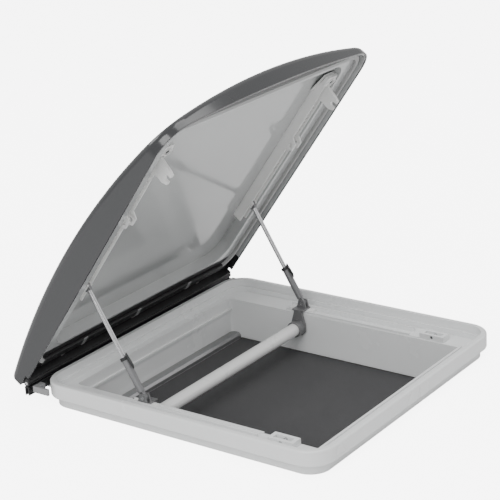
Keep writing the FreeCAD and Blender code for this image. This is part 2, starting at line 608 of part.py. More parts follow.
def make_inner_pane():
    """The inner skin: a shelf round the rim and a shallow well, so the rails sit inside."""
    skin_top = "(pane_level + pane_thickness)"
    shelf_top = "(rim_shelf + pane_thickness)"
    plate = doc.addObject("PartDesign::Body", "pane_plate")
    lid_solid(plate, "(dome_wall + small_clearance)", "pane_thickness", "rim_shelf")
    tail_edge = f"({web_inner} - hinge_leaf - small_clearance)"
    pocket(plate, "XY", shelf_top, "pane_thickness",
           rectangle("-lid_width", "lid_width", tail_edge, "lid_tail + overlap"))
    pocket(plate, "XY", shelf_top, "pane_thickness",
           rectangle(f"-{shelf_inner}", shelf_inner, well_front, well_rear), "pane_corner")
    well = doc.addObject("PartDesign::Body", "pane_well")
    edge = "pane_thickness"
    pad(well, "XY", "rim_shelf", f"{skin_top} - rim_shelf",
        rectangle(f"-{shelf_inner} - {edge}", f"{shelf_inner} + {edge}", f"{well_front} - {edge}",
                  f"{well_rear} + {edge}"), "(pane_corner + pane_thickness)")
    # lip turned down inside the dome's wall, from the hinge leaf forwards
    lip_bodies = []
    for name, inset in (("lip_outer", "dome_wall + small_clearance"),
                        ("lip_inner", "dome_wall + small_clearance + rim_lip")):
        body = doc.addObject("PartDesign::Body", name)
        lid_solid(body, f"({inset})", "rim_shelf + overlap - rim_lip_foot", "rim_lip_foot")
        lip_bodies.append(body)
    pocket(lip_bodies[0], "XY", shelf_top, shelf_top,
           rectangle("-lid_width", "lid_width", tail_edge, "lid_tail + overlap"))
    lip = doc.addObject("Part::Cut", "pane_lip")
    lip.Base, lip.Tool = lip_bodies
    skin = doc.addObject("Part::MultiFuse", "pane_skin")
    skin.Shapes = [plate, well, lip]
    limit = doc.addObject("PartDesign::Body", "pane_limit")
    dome_solid(limit, "(dome_wall + small_clearance)", "-overlap")
    inside = doc.addObject("Part::MultiCommon", "pane_inside_dome")
    inside.Shapes = [skin, limit]
    hollow = doc.addObject("PartDesign::Body", "pane_hollow")
    pad(hollow, "XY", "rim_shelf", "pane_level - rim_shelf",
        rectangle(f"-{shelf_inner}", shelf_inner, well_front, well_rear), "pane_corner")
    cut_to_crown(hollow, "dome_wall + small_clearance + pane_thickness")
    pane = doc.addObject("Part::Cut", "lid_inner_pane")
    pane.Base = inside
    pane.Tool = hollow
    pane.Label = "lid_inner_pane"
    bind(pane, "Placement", LID)
    subparts.append(pane)


def make_lid_seal():
    body = new_body("lid_seal", LID)
    foot = "(bead_rise - hinge_rise + lid_seal_gap)"
    middle = f"(-{hinge_y})"
    pad(body, "XY", foot, f"rim_shelf - {foot}",
        centred("frame_width - 2 * seal_inset", "frame_depth - 2 * seal_inset", middle),
        "(frame_corner - seal_inset)")
    pocket(body, "XY", "rim_shelf", f"rim_shelf - {foot}",
           centred("frame_width - 2 * bead_width + 2 * seal_inset",
                   "frame_depth - 2 * bead_width + 2 * seal_inset", middle),
           "(frame_corner - bead_width + seal_inset)")


RIBS = 3


def make_rail(name, side):
    """A channel open below, its front end lower under the sloping crown and as broad as a hand."""
    body = new_body("lid_rail_" + name, LID)
    bend = "(head_length - rail_end)"
    skin = "(pane_level - rail_wall)"
    pad(body, "YZ", side_of(side, rail_inner, "rail_width"), "rail_width",
        [("-rail_end", rail_foot), ("-rail_start", rail_foot), ("-rail_start", "pane_level"),
         (bend, "pane_level"), ("-rail_end", "pane_level - head_drop")])
    hollow_width = "(rail_width - 2 * rail_wall)"
    pocket(body, "YZ", far_side(side, f"{rail_inner} + rail_wall", hollow_width), hollow_width,
           [("-rail_end", rail_foot), ("-rail_start", rail_foot), ("-rail_start", skin),
            (bend, skin), ("-rail_end", f"{skin} - head_drop")])
    # broad head plate over the latch bracket, with ribs between the walls
    head_start, head_width = "(strut_plane - head_width / 2)", "(rail_width / 2 + head_width / 2)"
    pad(body, "YZ", side_of(side, head_start, head_width), head_width,
        [("-rail_end", f"{skin} - head_drop"), (bend, skin), (bend, "pane_level"),
         ("-rail_end", "pane_level - head_drop")])
    for number in range(RIBS):
        pad(body, "XZ", f"(-rail_end + rib_first + {number} * rib_pitch)", "rib_thickness",
            mirrored(side, rectangle(f"{rail_inner} + rib_inset", f"{rail_outer} - rib_inset",
                                     f"{rail_foot} + rib_drop", "pane_level - head_drop - rib_top_drop")))


def make_lug(name, side):
    """A pair of ears under the middle of the rail, one each side of the folded strut."""
    body = new_body("rail_lug_" + name, LID)
    foot = "(pane_level - lug_drop)"
    for start in (rail_inner, f"{rail_outer} - rail_wall"):
        pad(body, "YZ", side_of(side, start, "rail_wall"), "rail_wall",
            [("-lug_place - lug_length / 2", rail_foot), ("-lug_place - lug_length / 4", foot),
             ("-lug_place + lug_length / 4", foot), ("-lug_place + lug_length / 2", rail_foot)])
    inner = f"({rail_inner} + rail_wall)"
    pad(body, "XZ", "-lug_place + lug_length / 4", "lug_length / 2", mirrored(side, rectangle(
        inner, f"{rail_outer} - rail_wall", "pane_level - rail_wall - lug_bridge",
        "pane_level - rail_wall")))
    for start in (inner, f"{rail_outer} - rail_wall - lug_gusset"):
        pad(body, "YZ", side_of(side, start, "lug_gusset"), "lug_gusset",
            rectangle("-lug_place - lug_length / 4", "-lug_place + lug_length / 4",
                      foot, "pane_level - rail_wall"))
    round_pocket(body, "YZ", far_side(side, rail_inner, "rail_width"), "rail_width",
                 [("-lug_place", f"{foot} + lug_hole_radius + lug_hole_rise", "lug_hole_radius")])


def make_hook(name, side):
    """The forked hook that drops over the keeper."""
    body = new_body("latch_hook_" + name, LID)
    start = "(strut_plane - hook_thickness / 2)"
    notch_z = f"({keeper_z} - {hinge_z})"
    foot = f"({notch_z} - hook_tip)"
    left, right = "(-latch_reach - hook_width / 2)", "(-latch_reach + hook_width / 2)"
    top = "(pane_level - rail_wall)"
    root_front = f"({left} - hook_root_front)"
    section = [(f"{left} + hook_chamfer", foot), ("-latch_reach - hook_notch / 2", foot),
               ("-latch_reach - hook_notch / 2", notch_z), ("-latch_reach + hook_notch / 2", notch_z),
               ("-latch_reach + hook_notch / 2", foot), (f"{right} - hook_chamfer", foot),
               (right, f"{notch_z} + hook_shoulder"),
               (f"{right} - hook_shoulder", f"{rail_foot} - hook_shoulder"),
               (f"{right} + hook_root_rear", top), ("head_length - rail_end", top),
               (root_front, f"{top} - head_drop * (head_length - rail_end - {root_front}) / head_length"),
               (left, f"{notch_z} + hook_shoulder")]
    pad(body, "YZ", side_of(side, start, "hook_thickness"), "hook_thickness", section)
    round_pocket(body, "YZ", far_side(side, start, "hook_thickness"), "hook_thickness",
                 [("-latch_reach", notch_z, "hook_notch / 2")])


def make_clevis(name, side):
    """The head bracket of a strut: a base plate in the rail and two ears."""
    body = new_body("strut_clevis_" + name, LID)
    top = "(pane_level - rail_wall)"
    inner, outer = f"{rail_inner} + rail_wall + clevis_gap", f"{rail_outer} - rail_wall - clevis_gap"
    pad(body, "XY", f"{top} - clevis_base", "clevis_base",
        mirrored(side, rectangle(inner, outer, f"{head_y} - clevis_base_half",
                                 f"{head_y} + clevis_base_half")))
    for start in (f"strut_plane + {ear_inner}", f"strut_plane - {ear_inner} - ear_thickness"):
        pad(body, "YZ", side_of(side, start, "ear_thickness"), "ear_thickness",
            [(f"{head_y} - clevis_ear_base", f"{top} - overlap"),
             (f"{head_y} - clevis_ear_top", f"{head_z} - clevis_ear_drop"),
             (f"{head_y} + clevis_ear_top", f"{head_z} - clevis_ear_drop"),
             (f"{head_y} + clevis_ear_base", f"{top} - overlap")])
    round_pocket(body, "YZ", far_side(side, "strut_plane - bore_reach", "2 * bore_reach"),
                 "2 * bore_reach", [(head_y, head_z, "pivot_radius + running_gap")])
    pin = new_body("clevis_pin_" + name, LID)
    length = f"(2 * ({ear_inner} + ear_thickness))"
    round_pad(pin, "YZ", side_of(side, f"strut_plane - {length} / 2", length), length,
              [(head_y, head_z, "pivot_radius")])


RAIL_SCREW_SHARES = (0.2, 0.45, 0.7)      # places along the rail, as shares of its length


def make_rail_screws():
    screws = []
    for name, side in SIDES.items():
        for number, share in enumerate(RAIL_SCREW_SHARES, start=1):
            place_y = f"-rail_start - {share} * (rail_end - rail_start)"
            screws.append(cylinder(f"rail_screw_{name}_{number}", "screw_head_radius",
                                   "screw_head_height",
                                   place(f"{side} * strut_plane", place_y,
                                         "pane_level - rail_wall - screw_head_height")))
    bind(group("rail_screws", screws), "Placement", LID)


# ---------------------------------------------------------------- struts
def make_strut(name, side):
    frame = strut_place(side)
    half = "(eye_width / 2)"
    socket = "(rod_radius + fit_gap)"
    foot = new_body("strut_foot_" + name, frame)
    round_pad(foot, "YZ", f"-{half}", "eye_width", [("0", "0", "eye_radius")])
    pad(foot, "YZ", f"-{half}", "eye_width", rectangle("0", "sleeve_start", "-foot_shank", "foot_shank"))
    round_pocket(foot, "YZ", half, "eye_width", [("0", "0", "pivot_radius + running_gap")])
    sleeve = new_body("strut_sleeve_" + name, frame)
    round_pad(sleeve, "XZ", "sleeve_end", "sleeve_end - sleeve_start", [("0", "0", "sleeve_radius")])
    socket_foot = "(sleeve_start + socket_depth)"
    round_pocket(sleeve, "XZ", socket_foot, f"sleeve_end - {socket_foot}", [("0", "0", socket)])
    rod = new_body("strut_rod_" + name, frame)
    rod_end = "(strut_length - head_shank)"
    round_pad(rod, "XZ", rod_end, f"{rod_end} - {socket_foot}", [("0", "0", "rod_radius")])
    head = new_body("strut_head_" + name, frame)
    round_pad(head, "YZ", f"-{half}", "eye_width", [("strut_length", "0", "eye_radius")])
    pad(head, "YZ", f"-{half}", "eye_width",
        rectangle(rod_end, "strut_length", "-eye_radius", "eye_radius"))
    round_pocket(head, "YZ", half, "eye_width",
                 [("strut_length", "0", "pivot_radius + running_gap")])
    clip = new_body("strut_clip_" + name, frame)
    clip_foot = "(sleeve_end + 2 * fit_gap)"
    clip_end = f"({clip_foot} + clip_ring)"
    round_pad(clip, "XZ", clip_end, "clip_ring", [("0", "0", "sleeve_radius + ring_wall")])
    pad(clip, "YZ", "-arm_half", "2 * arm_half",
        [(f"{clip_foot} - arm_reach", "sleeve_radius + arm_lift"),
         (clip_foot, "sleeve_radius + arm_low_lift"),
         (f"{clip_foot} + 2 * fit_gap", "rod_radius + ring_wall"),
         (clip_end, "rod_radius + ring_wall"),
         (f"{clip_foot} + arm_nose", "sleeve_radius + arm_lift"),
         (f"{clip_foot} - arm_step", "sleeve_radius + arm_high_lift")])
    round_pocket(clip, "XZ", clip_foot, "clip_ring", [("0", "0", socket)])


# ---------------------------------------------------------------- bar and carriages
def make_bar():
    body = new_body("bar_tube", CARRIAGE)
    length = f"(2 * {plate_face} - 2 * bracket_thickness - 2 * fit_gap)"
    circles = [("0", "-bar_drop", "bar_radius"), ("0", "-bar_drop", "bar_radius - bar_wall")]
    round_pad(body, "YZ", f"-{length} / 2", length, circles)
    for name, side in SIDES.items():
        plug = new_body("bar_plug_" + name, CARRIAGE)
        round_pad(plug, "YZ", side_of(side, f"{length} / 2 - plug_length", "plug_length"),
                  "plug_length",
                  [("0", "-bar_drop", "bar_radius - bar_wall - fit_gap")])


def make_carriage(name, side):
    """Side plate and collar for the bar, and the platform with the strut foot's two ears."""
    body = new_body("bar_bracket_" + name, CARRIAGE)
    plate_inner = f"({plate_face} - bracket_thickness)"
    base_foot = "(guide_base + slide_gap + shoe_thickness - hinge_rise)"
    base_top = f"({base_foot} + carriage_plate)"
    collar_foot = "(-bar_drop - collar_radius)"
    half = [("plate_waist", collar_foot), ("collar_radius", "-bar_drop - collar_shoulder_low"),
            ("collar_radius", "-bar_drop + collar_shoulder_high"),
            ("plate_waist", "-plate_waist_top"), ("carriage_half", base_top)]
    plate = half + [(f"-{y}", z) for y, z in reversed(half)]
    pad(body, "YZ", side_of(side, plate_inner, "bracket_thickness"), "bracket_thickness", plate)
    collar_start = f"({plate_inner} - collar_length)"
    round_pad(body, "YZ", side_of(side, collar_start, "collar_length + overlap"),
              "collar_length + overlap", [("0", "-bar_drop", "collar_radius")])
    round_pocket(body, "YZ", far_side(side, collar_start, "collar_length"), "collar_length",
                 [("0", "-bar_drop", "bar_radius + fit_gap")])
    platform_outer = f"(strut_plane + {ear_inner} + ear_thickness)"
    pad(body, "XY", base_foot, "carriage_plate",
        mirrored(side, rectangle(plate_inner, platform_outer, "-carriage_half", "carriage_half")))
    for start in (f"strut_plane + {ear_inner}", f"strut_plane - {ear_inner} - ear_thickness"):
        pad(body, "YZ", side_of(side, start, "ear_thickness"), "ear_thickness",
            [("-foot_ear_base", f"{base_top} - overlap"), ("-foot_ear_top", "foot_ear_rise"),
             ("foot_ear_top", "foot_ear_rise"), ("foot_ear_base", f"{base_top} - overlap")])
    round_pocket(body, "YZ", far_side(side, "strut_plane - bore_reach", "2 * bore_reach"),
                 "2 * bore_reach", [("0", "0", "pivot_radius + running_gap")])
    pin = new_body("foot_pin_" + name, CARRIAGE)
    length = f"(2 * ({ear_inner} + ear_thickness))"
    round_pad(pin, "YZ", side_of(side, f"strut_plane - {length} / 2", length), length,
              [("0", "0", "pivot_radius")])
    shoe = new_body("slider_shoe_" + name, CARRIAGE)
    shoe_half = "(guide_width / 2 - guide_wall - slide_gap)"
    pad(shoe, "XY", f"{base_foot} - shoe_thickness", "shoe_thickness",
        mirrored(side, rectangle(f"strut_plane - {shoe_half}", f"strut_plane + {shoe_half}",
                                 "-shoe_length / 2", "shoe_length / 2")))


# ---------------------------------------------------------------- inner trim and blind
def make_trim():
    body = new_body("inner_trim_frame")
    pad(body, "XY", trim_foot, "trim_height", centred(neck_width, neck_length, "opening_shift"),
        "(opening_corner + neck_wall)")
    pad(body, "XY", trim_foot, "trim_flange_thickness",
        centred(f"{neck_width} + 2 * trim_flange", f"{neck_length} + 2 * trim_flange",
                "opening_shift"),
        "(opening_corner + trim_flange)")
    pocket(body, "XY", trim_top, "trim_height",
           centred("opening_width", "opening_depth", "opening_shift"), "opening_corner")
    groove = rectangle("-opening_width / 2 - groove_depth", "opening_width / 2 + groove_depth",
                       f"{opening_front} - neck_wall - overlap", f"{opening_rear} + groove_depth")
    pocket(body, "XY", groove_top, "groove_height", groove)
    recess = [(x, y, "cap_radius + fit_gap") for x, y in trim_screw_places()]
    holes = [(x, y, "screw_radius + fit_gap") for x, y in trim_screw_places()]
    round_pocket(body, "XY", f"{trim_foot} + cap_thickness + screw_head_height",
                 "cap_thickness + screw_head_height", recess)
    round_pocket(body, "XY", f"{trim_foot} + trim_flange_thickness", "trim_flange_thickness", holes)


TRIM_SCREW_SHARES = (-0.3, 0.3)           # places along a side, as shares of the opening


def trim_screw_places():
    """Eight screws round the trim's flange."""
    reach_x = "(opening_width / 2 + neck_wall + trim_flange / 2)"
    reach_y = "(opening_depth / 2 + neck_wall + trim_flange / 2)"
    sides = [(f"{side} * {reach_x}", f"opening_shift + {share} * opening_depth")
             for side in (-1, 1) for share in TRIM_SCREW_SHARES]
    front = [(f"{side} * {reach_x}", f"opening_shift - {reach_y}") for side in (-1, 1)]
    rear = [(f"{share} * opening_width", f"opening_shift + {reach_y}")
            for share in TRIM_SCREW_SHARES]
    return sides + front + rear


def make_trim_fasteners():
    heads, caps = [], []
    for number, (x, y) in enumerate(trim_screw_places(), start=1):
        head_foot = f"{trim_foot} + cap_thickness"
        head = cylinder(f"trim_screw_head_{number}", "screw_head_radius", "screw_head_height",
                        place(x, y, head_foot))
        shank = cylinder(f"trim_screw_shank_{number}", "screw_radius", "screw_length",
                         place(x, y, f"{head_foot} + screw_head_height - head_overlap"))
        screw = doc.addObject("Part::Fuse", f"trim_screw_{number}")
        screw.Base = head
        screw.Tool = shank
        heads.append(screw)
        caps.append(cylinder(f"screw_cap_{number}", "cap_radius", "cap_thickness - cap_gap",
                             place(x, y, trim_foot)))
    group("trim_screws", heads)
    group("screw_caps", caps)


def make_blind():
    cassette = new_body("blind_cassette")
    rear = f"({opening_front} - neck_wall - small_clearance)"
    front = f"({rear} - cassette_depth)"
    half = "(opening_width / 2 + groove_depth + end_cap)"
    top = f"({groove_top} + cassette_wall + cassette_drop)"
    pad(cassette, "XY", f"{top} - cassette_height", "cassette_height",
        rectangle(f"-{half}", half, front, rear))
    void_half = f"({half} - cassette_wall)"
    pocket(cassette, "YZ", void_half, f"2 * {void_half}",
           rectangle(f"{front} + cassette_wall", f"{rear} - cassette_wall",
                     f"{top} - cassette_height + cassette_wall", f"{top} - cassette_wall"))
    pocket(cassette, "YZ", f"{void_half} - overlap", f"2 * {void_half} - 2 * overlap",
           rectangle(f"{rear} - cassette_wall - overlap", f"{rear} + overlap",
                     f"{groove_top} - groove_height + small_clearance", f"{groove_top} - fit_gap"))
    roller = new_body("blind_roller")
    round_pad(roller, "YZ", f"-{void_half} + clearance", f"2 * {void_half} - 2 * clearance",
              [(f"({front} + {rear}) / 2", f"{top} - cassette_height / 2", "roller_radius")])
    fabric = new_body("blind_fabric")
    pad(fabric, "XY", fabric_z, "fabric_thickness",
        rectangle("-opening_width / 2 - groove_depth + fabric_edge_gap",
                  "opening_width / 2 + groove_depth - fabric_edge_gap",
                  f"{rear} - cassette_wall - fabric_tuck",
                  f"{opening_rear} - pull_bar_depth - fabric_bar_gap"))
    bar = new_body("blind_pull_bar")
    bar_foot = f"({fabric_z} - pull_bar_drop)"
    bar_rear = f"({opening_rear} - pull_bar_setback)"
    bar_front = f"({bar_rear} - pull_bar_depth)"
    bar_half = "(opening_width / 2 - pull_bar_gap)"
    pad(bar, "XY", bar_foot, "pull_bar_height",
        [(f"-{bar_half}", bar_front), (bar_half, bar_front), (bar_half, f"{bar_rear} - opening_corner"),
         (f"{bar_half} - opening_corner", bar_rear), (f"-{bar_half} + opening_corner", bar_rear),
         (f"-{bar_half}", f"{bar_rear} - opening_corner")])
    bar_top = f"({bar_foot} + pull_bar_height)"
    pocket(bar, "YZ", bar_half, f"2 * {bar_half}",
           [(f"{bar_front} - overlap", f"{bar_top} - pull_bar_chamfer"),
            (f"{bar_front} + chamfer_depth", f"{bar_top} + overlap"),
            (f"{bar_front} - overlap", f"{bar_top} + overlap")])


# ---------------------------------------------------------------- build, test and write
make_base_frame()
make_bedding_seal()
for side_name, side_sign in SIDES.items():
    make_guide(side_name, side_sign)
    make_keeper(side_name, side_sign)
make_frame_hinge()
make_lid_hinge()
make_hinge_details()
make_dome()
make_inner_pane()
make_lid_seal()
for side_name, side_sign in SIDES.items():
    make_rail(side_name, side_sign)
    make_lug(side_name, side_sign)
    make_hook(side_name, side_sign)
    make_clevis(side_name, side_sign)
    make_strut(side_name, side_sign)
    make_carriage(side_name, side_sign)
make_rail_screws()
make_bar()
make_trim()
make_trim_fasteners()
make_blind()
doc.recompute()

faults = [f"{item.Label}: {item.State}" for item in doc.Objects
          if "Invalid" in item.State or "Error" in item.State]
faults += [f"{item.Label}: no valid shape" for item in subparts
           if item.Shape.isNull() or not item.Shape.isValid() or not item.Shape.Solids]
if faults:
    raise SystemExit("the model has faults:\n" + "\n".join(faults))

os.makedirs("parts", exist_ok=True)
for item in subparts:
    item.Shape.exportStep(f"parts/{item.Label}.step")
    box = item.Shape.BoundBox
    print(f"{item.Label:24s} solids {len(item.Shape.Solids)} volume {item.Shape.Volume / 1000:9.2f} cm3 "
          f"x {box.XMin:7.1f} {box.XMax:7.1f} y {box.YMin:7.1f} {box.YMax:7.1f} "
          f"z {box.ZMin:7.1f} {box.ZMax:7.1f}")
print(f"{len(subparts)} sub-parts")
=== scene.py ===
"""Looks for the deck hatch: studio, finishes, and the pieces whose shape is made here."""
import json
import math

import bmesh
import bpy
from mathutils import Matrix, Vector


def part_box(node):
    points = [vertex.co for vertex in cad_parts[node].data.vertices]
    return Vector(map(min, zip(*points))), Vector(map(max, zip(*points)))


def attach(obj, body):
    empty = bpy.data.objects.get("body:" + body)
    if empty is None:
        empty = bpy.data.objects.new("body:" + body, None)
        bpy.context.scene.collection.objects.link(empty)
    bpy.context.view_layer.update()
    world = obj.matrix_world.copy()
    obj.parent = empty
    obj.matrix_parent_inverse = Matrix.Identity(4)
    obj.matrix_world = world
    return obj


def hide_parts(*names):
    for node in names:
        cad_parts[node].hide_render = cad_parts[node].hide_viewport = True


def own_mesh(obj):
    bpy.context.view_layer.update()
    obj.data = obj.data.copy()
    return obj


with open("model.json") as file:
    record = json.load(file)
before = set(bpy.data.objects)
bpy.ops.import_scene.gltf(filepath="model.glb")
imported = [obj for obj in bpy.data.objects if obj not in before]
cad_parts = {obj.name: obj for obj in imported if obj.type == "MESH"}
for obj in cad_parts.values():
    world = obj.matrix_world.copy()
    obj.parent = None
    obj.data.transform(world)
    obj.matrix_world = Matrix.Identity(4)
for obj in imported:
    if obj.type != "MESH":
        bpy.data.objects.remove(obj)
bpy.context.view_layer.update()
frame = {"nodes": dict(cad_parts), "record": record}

# ---------------------------------------------------------------- where things are
ROOF_HOLE = (0.400, 0.446)                # cut-out that the neck drops into, metres
LENS = 120.5                              # long lens, on a 36 mm sensor
CAMERA_PLACE = Vector((-1.869, -1.364, 1.050))
CAMERA_RIGHT = Vector((0.5809, -0.8122, -0.0541))
CAMERA_UP = Vector((0.3084, 0.1581, 0.9380))
HINGE = Vector((0.0, 0.267, 0.033))       # a point on the hinge's axis
LID_OPEN = math.radians(54)               # how far the lid stands open at rest
RAIL_MIDDLE = 0.205                       # from the middle of the lid to the middle of a rail

# ---------------------------------------------------------------- sizes of the pieces made here, metres
# heights on the lid are measured from the hinge's axis, outwards through the lid
RIB_RUNS = ((-0.252, 6), (-0.346, 8))     # first rib and count, clear of lug, hook and strut
RIB_STEP = 0.008
RIB_SIZE = (0.0134, 0.0014, 0.0112)
RIB_HEIGHT = 0.0220                       # middle of a rib
HEAD_MIDDLE = 0.2018                      # from the middle of the lid to the middle of a rail head
HEAD_HALF_WIDTH = 0.0125
HEAD_RUN = (-0.4672, -0.4505)             # free end and inner end
HEAD_LEVELS = (0.0130, 0.0200)
HEAD_BEVEL = 0.0012
RIM_PLACE, RIM_LEVEL = -0.4588, 0.0108
RIM_HALF_LONG, RIM_HALF_WIDE, RIM_WALL, RIM_HEIGHT = 0.0062, 0.0088, 0.0012, 0.0026
SCREW_RADIUS, SCREW_HEIGHT, SCREW_LEVEL = 0.0036, 0.0016, 0.0131
STRIP_HALF_LENGTH = 0.2250
STRIP_LOW, STRIP_HIGH = (-0.0312, 0.00622), (-0.0180, 0.0112)     # clear of the bead when shut
STRIP_BEVEL = 0.0010
CLIP_PLACES = (-0.130, 0.0, 0.130)
CLIP_HALF_WIDTH = 0.0045
CLIP_LOW, CLIP_HIGH = (-0.0325, 0.00608), (-0.0170, 0.0078)
CLIP_BEVEL = 0.0004
CLOTH_COLUMNS, CLOTH_ROWS = 80, 86
CLOTH_SAG, RIPPLE_HEIGHT, RIPPLES = 0.0006, 0.0004, 9


# ---------------------------------------------------------------- node helpers
def new_group(name, inputs, outputs):
    """An empty shader group with named sockets; returns it with its two end nodes."""
    group = bpy.data.node_groups.new(name, "ShaderNodeTree")
    for socket, kind, value in inputs:
        made = group.interface.new_socket(socket, in_out="INPUT", socket_type=kind)
        made.default_value = value
    for socket, kind in outputs:
        group.interface.new_socket(socket, in_out="OUTPUT", socket_type=kind)
    return group, group.nodes.new("NodeGroupInput"), group.nodes.new("NodeGroupOutput")


def fill_inputs(tree, made, links):
    """Set a node's inputs from values, or link them from sockets."""
    for socket, value in (links or {}).items():
        if isinstance(value, bpy.types.NodeSocket):
            tree.links.new(value, made.inputs[socket])
        else:
            made.inputs[socket].default_value = value
    return made


def node(tree, kind, links=None, **settings):
    """A node with its settings, and its inputs given as values or as sockets to link."""
    made = tree.nodes.new(kind)
    for key, value in settings.items():
        setattr(made, key, value)
    return fill_inputs(tree, made, links)


def make_moulded_skin():
    """Slight unevenness of a moulded or coated face: a roughness that drifts and a fine bump."""
    group, start, end = new_group(
        "moulded_skin",
        [("Roughness", "NodeSocketFloat", 0.3), ("Drift", "NodeSocketFloat", 0.08),
         ("Grain Scale", "NodeSocketFloat", 900.0), ("Grain Height", "NodeSocketFloat", 0.02)],
        [("Roughness", "NodeSocketFloat"), ("Normal", "NodeSocketVector"),
         ("Patches", "NodeSocketFloat")])
    place = node(group, "ShaderNodeTexCoord").outputs["Object"]
    patches = node(group, "ShaderNodeTexNoise",
                   {"Vector": place, "Scale": 14.0, "Detail": 4.0, "Roughness": 0.6})
    centred = node(group, "ShaderNodeMath", {0: patches.outputs["Fac"], 1: 0.5},
                   operation="SUBTRACT")
    drift = node(group, "ShaderNodeMath", {0: centred.outputs[0], 1: start.outputs["Drift"],
                                           2: start.outputs["Roughness"]},
                 operation="MULTIPLY_ADD")
    grain = node(group, "ShaderNodeTexNoise",
                 {"Vector": place, "Scale": start.outputs["Grain Scale"], "Detail": 2.0})
    bump = node(group, "ShaderNodeBump", {"Strength": start.outputs["Grain Height"],
                                          "Distance": 0.001, "Height": grain.outputs["Fac"]})
    group.links.new(drift.outputs[0], end.inputs["Roughness"])
    group.links.new(bump.outputs["Normal"], end.inputs["Normal"])
    group.links.new(patches.outputs["Fac"], end.inputs["Patches"])
    return group


def make_soft_edge():
    """Rounds the light over sharp edges and marks where they are."""
    group, start, end = new_group(
        "soft_edge", [("Radius", "NodeSocketFloat", 0.0008), ("Normal", "NodeSocketVector", (0, 0, 0))],
        [("Normal", "NodeSocketVector"), ("Edge", "NodeSocketFloat")])
    bevel = node(group, "ShaderNodeBevel", {"Radius": start.outputs["Radius"],
                                            "Normal": start.outputs["Normal"]}, samples=4)
    true_normal = node(group, "ShaderNodeNewGeometry").outputs["Normal"]
    match = node(group, "ShaderNodeVectorMath", {0: bevel.outputs["Normal"], 1: true_normal},
                 operation="DOT_PRODUCT")
    edge = node(group, "ShaderNodeMapRange", {"Value": match.outputs["Value"], "From Min": 0.995,
                                              "From Max": 0.85, "To Min": 0.0, "To Max": 1.0})
    group.links.new(bevel.outputs["Normal"], end.inputs["Normal"])
    group.links.new(edge.outputs["Result"], end.inputs["Edge"])
    return group


def make_drawn_lines():
    """Fine lines along X left by drawing, extruding or brushing."""
    group, start, end = new_group(
        "drawn_lines", [("Line Scale", "NodeSocketFloat", 1200.0), ("Height", "NodeSocketFloat", 0.1),
                        ("Stretch", "NodeSocketVector", (0.01, 1.0, 1.0))],
        [("Lines", "NodeSocketFloat"), ("Normal", "NodeSocketVector")])
    place = node(group, "ShaderNodeTexCoord").outputs["Object"]
    drawn = node(group, "ShaderNodeVectorMath", {0: place, 1: start.outputs["Stretch"]},
                 operation="MULTIPLY")
    lines = node(group, "ShaderNodeTexNoise",
                 {"Vector": drawn.outputs[0], "Scale": start.outputs["Line Scale"], "Detail": 3.0})
    bump = node(group, "ShaderNodeBump", {"Strength": start.outputs["Height"], "Distance": 0.001,
                                          "Height": lines.outputs["Fac"]})
    group.links.new(lines.outputs["Fac"], end.inputs["Lines"])
    group.links.new(bump.outputs["Normal"], end.inputs["Normal"])
    return group


def make_weave():
    """A plain weave of warp and weft threads in the X-Y plane."""
    group, start, end = new_group(
        "weave", [("Threads", "NodeSocketFloat", 900.0), ("Height", "NodeSocketFloat", 0.4)],
        [("Thread", "NodeSocketFloat"), ("Normal", "NodeSocketVector")])
    place = node(group, "ShaderNodeTexCoord").outputs["Object"]
    heights = []
    for direction in ("X", "Y"):
        wave = node(group, "ShaderNodeTexWave", {"Vector": place, "Scale": start.outputs["Threads"],
                                                 "Distortion": 0.4, "Detail": 1.0},
                    bands_direction=direction)
        heights.append(wave.outputs["Fac"])
    thread = node(group, "ShaderNodeMath", {0: heights[0], 1: heights[1]}, operation="MULTIPLY")
    bump = node(group, "ShaderNodeBump", {"Strength": start.outputs["Height"], "Distance": 0.0005,
                                          "Height": thread.outputs[0]})
    group.links.new(thread.outputs[0], end.inputs["Thread"])
    group.links.new(bump.outputs["Normal"], end.inputs["Normal"])
    return group


MOULDED = make_moulded_skin()
SOFT_EDGE = make_soft_edge()
DRAWN = make_drawn_lines()
WEAVE = make_weave()


def use(tree, group, links=None):
    """A shared effect placed in a material with its own values."""
    return node(tree, "ShaderNodeGroup", links, node_tree=group)


def start_material(name, sockets):
    """A material with only its Principled shader, whose plain values are set on its own sockets."""
    material = bpy.data.materials.new(name)
    material.use_nodes = True
    tree = material.node_tree
    shader = tree.nodes["Principled BSDF"]
    for socket, value in sockets.items():
        shader.inputs[socket].default_value = value
    return material, tree, shader


def two_tones(tree, factor, first, second):
    mix = node(tree, "ShaderNodeMix", {"Factor": factor}, data_type="RGBA")
    mix.inputs[6].default_value = (*first, 1)
    mix.inputs[7].default_value = (*second, 1)
    return mix.outputs[2]


def coated(name, tone, edge_highlight_tone, roughness=0.3, drift=0.1, grain=900.0, height=0.02, edge=0.0008,
           **sockets):
    """A moulded plastic or coated metal: drifting tone, with a paler painted highlight at its edges."""
    material, tree, shader = start_material(name, {k.replace("_", " "): v for k, v in sockets.items()})
    skin = use(tree, MOULDED, {"Roughness": roughness, "Drift": drift, "Grain Scale": grain,
                               "Grain Height": height})
    soft = use(tree, SOFT_EDGE, {"Radius": edge, "Normal": skin.outputs["Normal"]})
    faded = tuple(0.93 * value for value in tone)
    body_tone = two_tones(tree, skin.outputs["Patches"], tone, faded)
    # painted highlight: where the bevel bends the normal, the colour turns to a paler tone along the
    # edge
    mix = node(tree, "ShaderNodeMix", {"Factor": soft.outputs["Edge"]}, data_type="RGBA")
    tree.links.new(body_tone, mix.inputs[6])
    mix.inputs[7].default_value = (*edge_highlight_tone, 1)
    tree.links.new(mix.outputs[2], shader.inputs["Base Color"])
    tree.links.new(skin.outputs["Roughness"], shader.inputs["Roughness"])
    tree.links.new(soft.outputs["Normal"], shader.inputs["Normal"])
    return material


